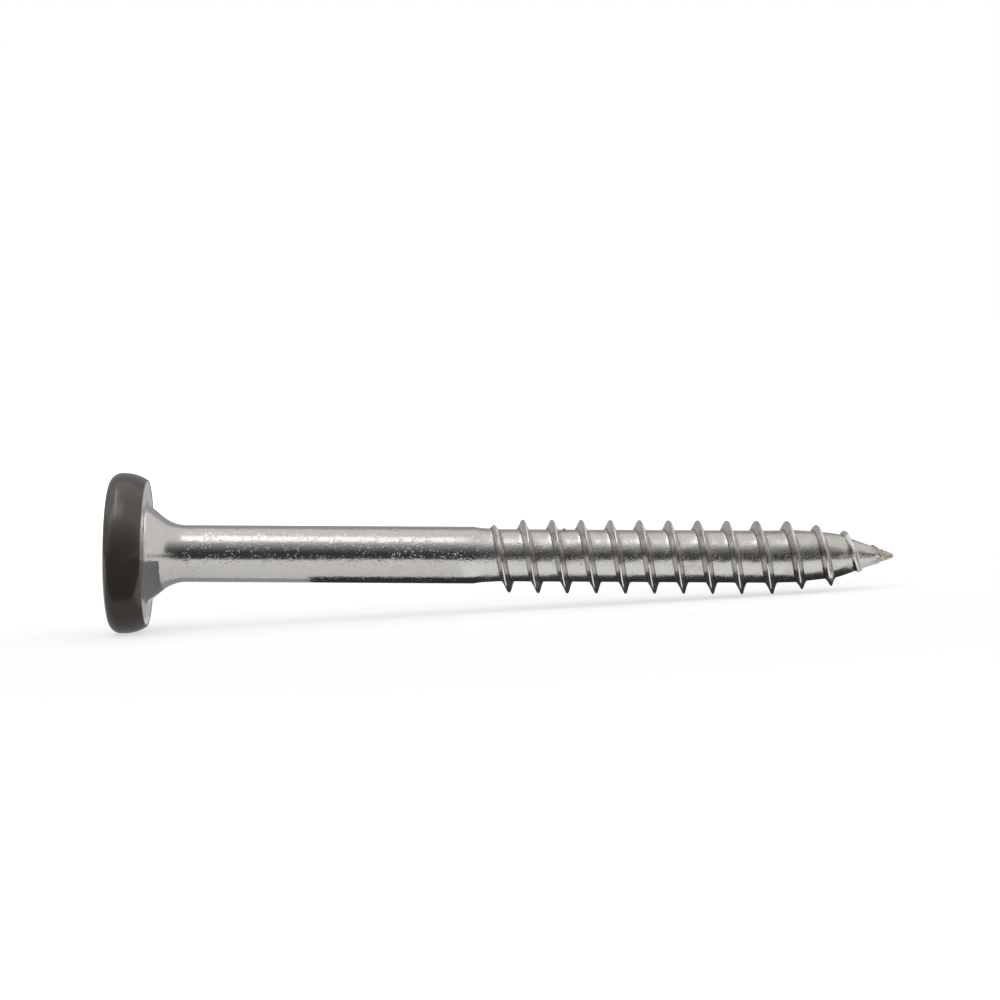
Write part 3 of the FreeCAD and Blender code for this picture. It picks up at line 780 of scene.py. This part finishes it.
uneven_gloss = ramp(tree, marked.outputs["Grain"], 0.3, 0.7, 0.75, 1.3)
tree.links.new(times(tree, uneven_gloss, by_place(0.22, 0.17, 0.27)), shader.inputs["Roughness"])
print("steel:", len(tree.nodes), "nodes")

# %% [markdown]
# ## Roll the thread
#
# The tree is put on the blank as a modifier. Its inputs are set by the sockets' identifiers before the
# object is evaluated. Then the evaluated result becomes a plain mesh, and the modifier goes.

# %% Wind the ridge onto the blank
modifier = blank.modifiers.new("rolled thread", "NODES")
modifier.node_group = thread_tree
values = dict(thread_sizes, Steel=steel_material)
for socket in thread_tree.interface.items_tree:
    if socket.in_out == "INPUT" and socket.name in values:
        modifier[socket.identifier] = values[socket.name]
rolled = bpy.data.meshes.new_from_object(blank.evaluated_get(bpy.context.evaluated_depsgraph_get()))
blank.modifiers.clear()
print("rolled:", len(rolled.polygons), "faces")

# %% [markdown]
# ## The faults of this one screw
#
# No screw out of a box is perfect. The last stretch of this one is bent up by a tenth of a millimetre, its
# tip is rough, and a small lump sticks to its core between two turns. Last, the same helper as for the
# coat welds the rings and lays the screw down.

# %% Bend it and finish the mesh
BEND = 0.12
BEND_FROM = 49.5
BEND_TO = 55.5
TIP_ROUGH_FROM = 57.8
TIP_ROUGHNESS = 0.11
TIP_GRAIN = 3.5
LUMP_AT = (34.76, -0.3, 1.98)
LUMP_RADIUS = 0.16


def held(value):
    """The value, but not under 0 and not over 1."""
    return min(max(value, 0.0), 1.0)


mesh = bmesh.new()
mesh.from_mesh(rolled)
for vertex in mesh.verts:
    share = held((vertex.co.x - BEND_FROM) / (BEND_TO - BEND_FROM))
    rough = held(vertex.co.x - TIP_ROUGH_FROM) * TIP_ROUGHNESS
    outwards = Vector((0, vertex.co.y, vertex.co.z)).normalized()
    vertex.co += outwards * rough * noise.noise(vertex.co * TIP_GRAIN)
    vertex.co.z += BEND * share**2 * (3 - 2 * share)
bmesh.ops.create_icosphere(mesh, subdivisions=3, radius=LUMP_RADIUS, matrix=Matrix.Translation(LUMP_AT))
steel_data = finish_mesh("screw_steel", mesh)
steel_data.materials.clear()
steel_data.materials.append(steel_material)
blank.data = steel_data
steel = blank
open_edges = len(steel_data.edges) * 2 - sum(len(face.vertices) for face in steel_data.polygons)
print("steel:", len(steel_data.polygons), "faces, edges without two faces:", open_edges)

# %% [markdown]
# ## The coat's finish
#
# The head is powder coated in a satin taupe brown. Baked powder flows into a skin that is smooth to the
# touch but has a fine orange peel. We give it a slow change of tone, a peel bump and a roughness that
# varies a little, so that its highlight isn't a clean airbrushed one.

# %% Paint the coat
CLOUD_SIZE = 2.5
DARK_TAUPE = (0.046, 0.036, 0.0285, 1)
LIGHT_TAUPE = (0.054, 0.042, 0.0335, 1)
PEEL_SIZES = {"Dent size": 0.22, "Dent depth": 0.0016, "Grain depth": 0.0012, "Nick depth": 0.006}

brown = bpy.data.materials.new("brown coat")
brown.use_nodes = True
tree = brown.node_tree
shader = tree.nodes["Principled BSDF"]
shader.inputs["Specular IOR Level"].default_value = 0.7
vector = along_the_screw(tree)
cloud = add(tree, "ShaderNodeTexNoise", {
    "Vector": scaled(tree, vector, CLOUD_SIZE * MM), "Scale": 1.0, "Detail": 4.0})
tone = mixed(tree, ramp(tree, cloud.outputs[0], 0.35, 0.65), DARK_TAUPE, LIGHT_TAUPE)
tree.links.new(tone, shader.inputs["Base Color"])
marked = add(tree, "ShaderNodeGroup", node_tree=marks)
tree.links.new(vector, marked.inputs["Vector"])
# The coat has no pits, so their depth keeps its default of zero.
marked.inputs["Dents everywhere"].default_value = 1.0
for name, size in PEEL_SIZES.items():
    marked.inputs[name].default_value = size * MM
bump = add(tree, "ShaderNodeBump", {"Height": marked.outputs["Height"], "Distance": 1.0, "Strength": 1.0})
tree.links.new(bump.outputs[0], shader.inputs["Normal"])
tree.links.new(ramp(tree, marked.outputs["Grain"], 0.3, 0.7, 0.2, 0.28), shader.inputs["Roughness"])
coat.data.materials.append(brown)
print("coat:", len(tree.nodes), "nodes")

# %% [markdown]
# ## Seat the pieces
#
# The plain model has one node, the screw, and one body that never moves, the root. Both pieces ride on
# that body and stand in for that node.

# %% Seat both pieces on the frame
for piece, slot in ((steel, "steel"), (coat, "head_paint")):
    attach(piece, "root")
    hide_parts("screw")
print("pieces:", steel.name, coat.name)

# %% [markdown]
# ## The studio
#
# A pale table, one large soft light above and a white room. To the camera the table is as white as the
# room, because it glows by itself. It glows less round the screw, where the lamp's light falls on it, and
# so the screw's faint shadow can show.

# %% The table
TABLE_REACH = 3.0
DULL_SPOT = (0.028, 0, 0)
DULL_RADIUS = 0.05
BRIGHT_RADIUS = 0.16
DULL_GLOW = 0.62
CARD_LIFT = 0.0001
table_height = cad_box[0][2]


def lit_card(name, corners, material, only_in_metal=True):
    """Puts a flat sheet on the stage, by its corners in metres. Only reflections show one for the metal."""
    data = bpy.data.meshes.new(name)
    data.from_pydata(corners, [], [list(range(len(corners)))])
    data.materials.append(material)
    sheet = add_object(name, data)
    if only_in_metal:
        sheet.visible_camera = sheet.visible_diffuse = sheet.visible_shadow = False
        sheet.visible_transmission = False


def flat(*corners, height=table_height + CARD_LIFT):
    """The corners of a sheet that lies level, just above the table if no height is given."""
    return [(*corner, height) for corner in corners]


def seen_or_mirrored(tree):
    """1 for what the camera sees, or sees in a reflection, and 0 for light that falls on the screw."""
    path = add(tree, "ShaderNodeLightPath").outputs
    either = calc(tree, "MAXIMUM", path["Is Camera Ray"], path["Is Glossy Ray"])
    return calc(tree, "MAXIMUM", either, path["Is Transmission Ray"])


pale = bpy.data.materials.new("pale table")
pale.use_nodes = True
tree = pale.node_tree
shader = tree.nodes["Principled BSDF"]
shader.inputs["Base Color"].default_value = (0.5, 0.5, 0.5, 1)
shader.inputs["Roughness"].default_value = 0.9
shader.inputs["Specular IOR Level"].default_value = 0.1
shader.inputs["Emission Color"].default_value = (1, 1, 1, 1)
spot = add(tree, "ShaderNodeTexCoord").outputs["Object"]
away = add(tree, "ShaderNodeVectorMath", {0: spot, 1: DULL_SPOT}, operation="DISTANCE").outputs["Value"]
lift = ramp(tree, away, DULL_RADIUS, BRIGHT_RADIUS, DULL_GLOW, 1.0)
tree.links.new(times(tree, seen_or_mirrored(tree), lift), shader.inputs["Emission Strength"])
table_corners = flat((-TABLE_REACH, -TABLE_REACH), (TABLE_REACH, -TABLE_REACH),
                     (TABLE_REACH, TABLE_REACH), (-TABLE_REACH, TABLE_REACH), height=table_height)
lit_card("table", table_corners, pale, only_in_metal=False)
print(f"table {2 * TABLE_REACH:.0f} m wide, {-table_height / MM:.2f} mm under the middle of the head")

# %% [markdown]
# ## Cards that only the metal sees: painted reflections
#
# Bright metal shows the room round it more than its own colour, so we paint what it should mirror. Each
# card is a sheet that glows in one shade, or in shades that change with height, and only reflections show
# it, so its dark is painted shade and its light painted light. The upright ones stand round the table:
# painted dusk behind the camera, painted shade behind the screw and on the left, a dark edge and a glowing
# sheet on the right. A narrow glowing sheet hangs overhead and paints the glint on the coat. The others lie
# on the table: painted shade before and under the screw, painted light before its thread, and a painted
# duller table behind it.

# %% Hang the cards


def glow(name, shades, one_sided=False):
    """A material that glows. Shades are pairs of a height in metres and a brightness, from below upwards."""
    material = bpy.data.materials.new(name)
    material.use_nodes = True
    tree = material.node_tree
    tree.nodes.remove(tree.nodes["Principled BSDF"])
    emission = add(tree, "ShaderNodeEmission", {"Color": (1, 1, 1, 1), "Strength": shades[0][1]})
    tree.links.new(emission.outputs[0], tree.nodes["Material Output"].inputs["Surface"])
    if len(shades) > 1:
        emission.inputs["Strength"].default_value = 1.0
        spot = add(tree, "ShaderNodeTexCoord").outputs["Object"]
        height = add(tree, "ShaderNodeSeparateXYZ", {0: spot}).outputs["Z"]
        fade = add(tree, "ShaderNodeValToRGB", {"Fac": height})
        stops = fade.color_ramp.elements
        while len(stops) < len(shades):
            stops.new(0.5)
        for stop, (place, shade) in zip(stops, shades):
            stop.position = place
            stop.color = (shade, shade, shade, 1)
        tree.links.new(fade.outputs["Color"], emission.inputs["Color"])
    if one_sided:
        clear = add(tree, "ShaderNodeBsdfTransparent").outputs[0]
        behind = add(tree, "ShaderNodeNewGeometry").outputs["Backfacing"]
        either = add(tree, "ShaderNodeMixShader", {0: behind, 1: emission.outputs[0], 2: clear})
        tree.links.new(either.outputs[0], tree.nodes["Material Output"].inputs["Surface"])
    return material


def upright(start, end, foot=table_height, top=0.56):
    """The corners of a sheet that stands on a line over the table."""
    return [(*start, foot), (*end, foot), (*end, top), (*start, top)]


# Each card shows only in reflections: a dark one is painted shade, a bright one painted light.
cards = {
    "painted_dusk_behind_camera": (((0.088, 0.06), (0.187, 0.19), (0.33, 0.41), (0.52, 0.74)),
                           upright((-0.7, -0.42), (0.7, -0.42))),
    "painted_shade_behind_screw": (((0, 0.45),), upright((-0.7, 0.4), (0.3, 0.4))),
    "painted_shade_on_the_left": (((0.03, 0.08), (0.06, 0.4), (0.25, 0.5)),
                         upright((-0.5, -0.42), (-0.5, 0.4), top=0.25)),
    "painted_dark_edge_on_the_right": (((0, 0.07),), upright((0.6, 0.25), (0.45, 0.6), top=0.09)),
    "painted_light_on_the_right": (((0, 2.0),), upright((0.6, 0.25), (0.45, 0.6), foot=0.09, top=0.24)),
    "painted_glint_overhead": (((0, 4.2),), flat(
        (-0.13, -0.35), (-0.06, -0.35), (-0.06, 0.16), (-0.13, 0.16), height=0.6)),
    "shade_before_screw": (((0, 0.06),), flat(
        (-0.7, -0.42), (0.15, -0.42), (0.07, -0.0065), (0.03, -0.013), (0.0235, -0.0165), (0.0195, -0.0188),
        (0.0155, -0.019), (0.0115, -0.0165), (0.0002, -0.0182), (0.0002, -0.0063), (-0.7, -0.0063))),
    "shade_under_head": (((0, 0.36),), flat(
        (-0.02, -0.0063), (0.001, -0.0063), (0.001, 0.004), (-0.02, 0.004))),
    "shade_under_shank": (((0, 0.42),), flat(
        (0.001, 0.0003), (0.0119, 0.0003), (0.0119, 0.012), (0.001, 0.012))),
    "painted_strip_under_screw": (((0, 0.045),), flat(
        (0.0119, -0.0009), (0.0545, -0.0017), (0.0545, 0.012), (0.0119, 0.012))),
    "painted_light_before_thread": (((0, 1.15),), flat(
        (0.024, -0.0155), (0.03, -0.0125), (0.068, -0.0063), (0.068, -0.0019), (0.0545, -0.0019),
        (0.024, -0.0014))),
    "painted_dull_table_behind_screw": (((0, 0.6),), flat((-0.1, 0.012), (0.3, 0.012), (0.3, 0.399), (-0.1, 0.399))),
}
for name, (shades, corners) in cards.items():
    lit_card(name, corners, glow(name, shades))
print("cards:", len(cards))

# %% [markdown]
# ## Two cards that glow on one side
#
# The neck mirrors a sharp dark patch of painted shade, and the head's rim mirrors painted shade on its
# right.
# Their cards stand so close to the screw that the shank and the neck would see them from behind. So both
# are one-sided: their backs are clear. The fan goes round the lower half of the neck, widest straight below.

# %% Beside the neck and the head
FAN_FROM = 1.5 * MM
FAN_LEAN = 0.086
FAN_INSIDE = 2.95 * MM
FAN_LEAST = 4.4 * MM
FAN_MOST = 8.5 * MM
FAN_DIRECTIONS = [math.radians(angle) for angle in range(-172, -27, 18)]
BESIDE_HEAD = 0.2 * MM


def fan_point(direction, radius):
    """A point of the fan round the screw's axis. The fan leans towards the head as it gets wider."""
    return (FAN_FROM - FAN_LEAN * radius, radius * math.cos(direction),
            radius * math.sin(direction) - math.tan(lie) * FAN_FROM)


# Painted shade: this fan exists only to put a dark patch into the neck's reflection.
fan = [fan_point(direction, FAN_INSIDE) for direction in FAN_DIRECTIONS]
for direction in reversed(FAN_DIRECTIONS):
    fan.append(fan_point(direction, FAN_LEAST + (FAN_MOST - FAN_LEAST) * math.sin(direction)**4))
lit_card("painted_shade_fan_beside_neck", fan, glow("painted_shade_fan_beside_neck", ((0, 0.25),), one_sided=True))
beside_head = upright((BESIDE_HEAD, -0.0058), (BESIDE_HEAD, -0.018), top=0)
lit_card("shade_beside_head", beside_head, glow("shade_beside_head", ((0, 0.06),), one_sided=True))
print("corners of the fan:", len(fan))

# %% [markdown]
# ## The softbox
#
# One lamp hangs level over the table, to the left of the screw and towards the camera. It is large, so
# the shadow on the table has no edge.

# %% The lamp
SOFTBOX_PLACE = (-0.25, -0.25, 0.6)

lamp_data = bpy.data.lights.new("softbox", "AREA")
lamp_data.shape = "RECTANGLE"
lamp_data.size = 0.7
lamp_data.size_y = 0.27
lamp_data.energy = 0.57
lamp_data.color = (1.0, 0.985, 0.95)
lamp = add_object("softbox", lamp_data)
lamp.location = SOFTBOX_PLACE
print(f"softbox {lamp_data.size} m by {lamp_data.size_y} m, {lamp_data.energy:.2f} W")

# %% [markdown]
# ## The room
#
# The room is the world. To the camera it is plain white, and in the metal a slightly warm white. For the
# light that falls on the screw it is dimmer, so that colours come out as they were written.

# %% World
WARM_WHITE = (1.0, 0.98, 0.945, 1)
ROOM_LIGHT = 0.7

world = bpy.data.worlds.new("white room")
bpy.context.scene.world = world
world.use_nodes = True
tree = world.node_tree
background = tree.nodes["Background"]
seen = add(tree, "ShaderNodeLightPath").outputs["Is Camera Ray"]
tree.links.new(mixed(tree, seen, WARM_WHITE, (1, 1, 1, 1)), background.inputs["Color"])
strength = ramp(tree, seen_or_mirrored(tree), 0.0, 1.0, ROOM_LIGHT, 1.0, smooth=False)
tree.links.new(strength, background.inputs["Strength"])
print("world:", len(tree.nodes), "nodes")

# %% [markdown]
# ## The camera
#
# The picture was taken from about a quarter of a metre away, from a few degrees above level and straight
# from the side, so that the head shows a little of its underside. The camera is rolled by almost the angle
# at which the screw lies, which brings the screw nearly level in the frame.

# %% Camera
VIEW_DISTANCE = 0.2575
FRAME_WIDTH = 0.0766
SENSOR_WIDTH = 36.0
CAMERA_RISE = math.radians(3.0)
LEVEL_ERROR = math.radians(0.33)
MIDDLE_FROM_HEAD = 29.86
AIM_ABOVE_SCREW = 4.23

camera_data = bpy.data.cameras.new("camera")
camera = add_object("camera", camera_data)
camera_data.sensor_width = SENSOR_WIDTH
camera_data.lens = SENSOR_WIDTH * VIEW_DISTANCE / FRAME_WIDTH
camera_data.clip_start = 0.01
roll = lie - LEVEL_ERROR
right = Vector((1, 0, 0))
up = Vector((0, math.sin(CAMERA_RISE), math.cos(CAMERA_RISE)))
forward = up.cross(right)
rolled_right = right * math.cos(roll) - up * math.sin(roll)
rolled_up = up * math.cos(roll) + right * math.sin(roll)
middle_of_screw = lay_down @ Vector((MIDDLE_FROM_HEAD * MM, 0, 0))
aim = middle_of_screw + rolled_up * AIM_ABOVE_SCREW * MM
place = aim - forward * VIEW_DISTANCE
turned = Matrix((rolled_right, rolled_up, -forward)).transposed().to_4x4()
camera.matrix_world = Matrix.Translation(place) @ turned
bpy.context.scene.camera = camera
bpy.context.scene.view_settings.view_transform = "Standard"
print(f"lens {camera_data.lens:.0f} mm, roll {math.degrees(roll):.2f} degrees")
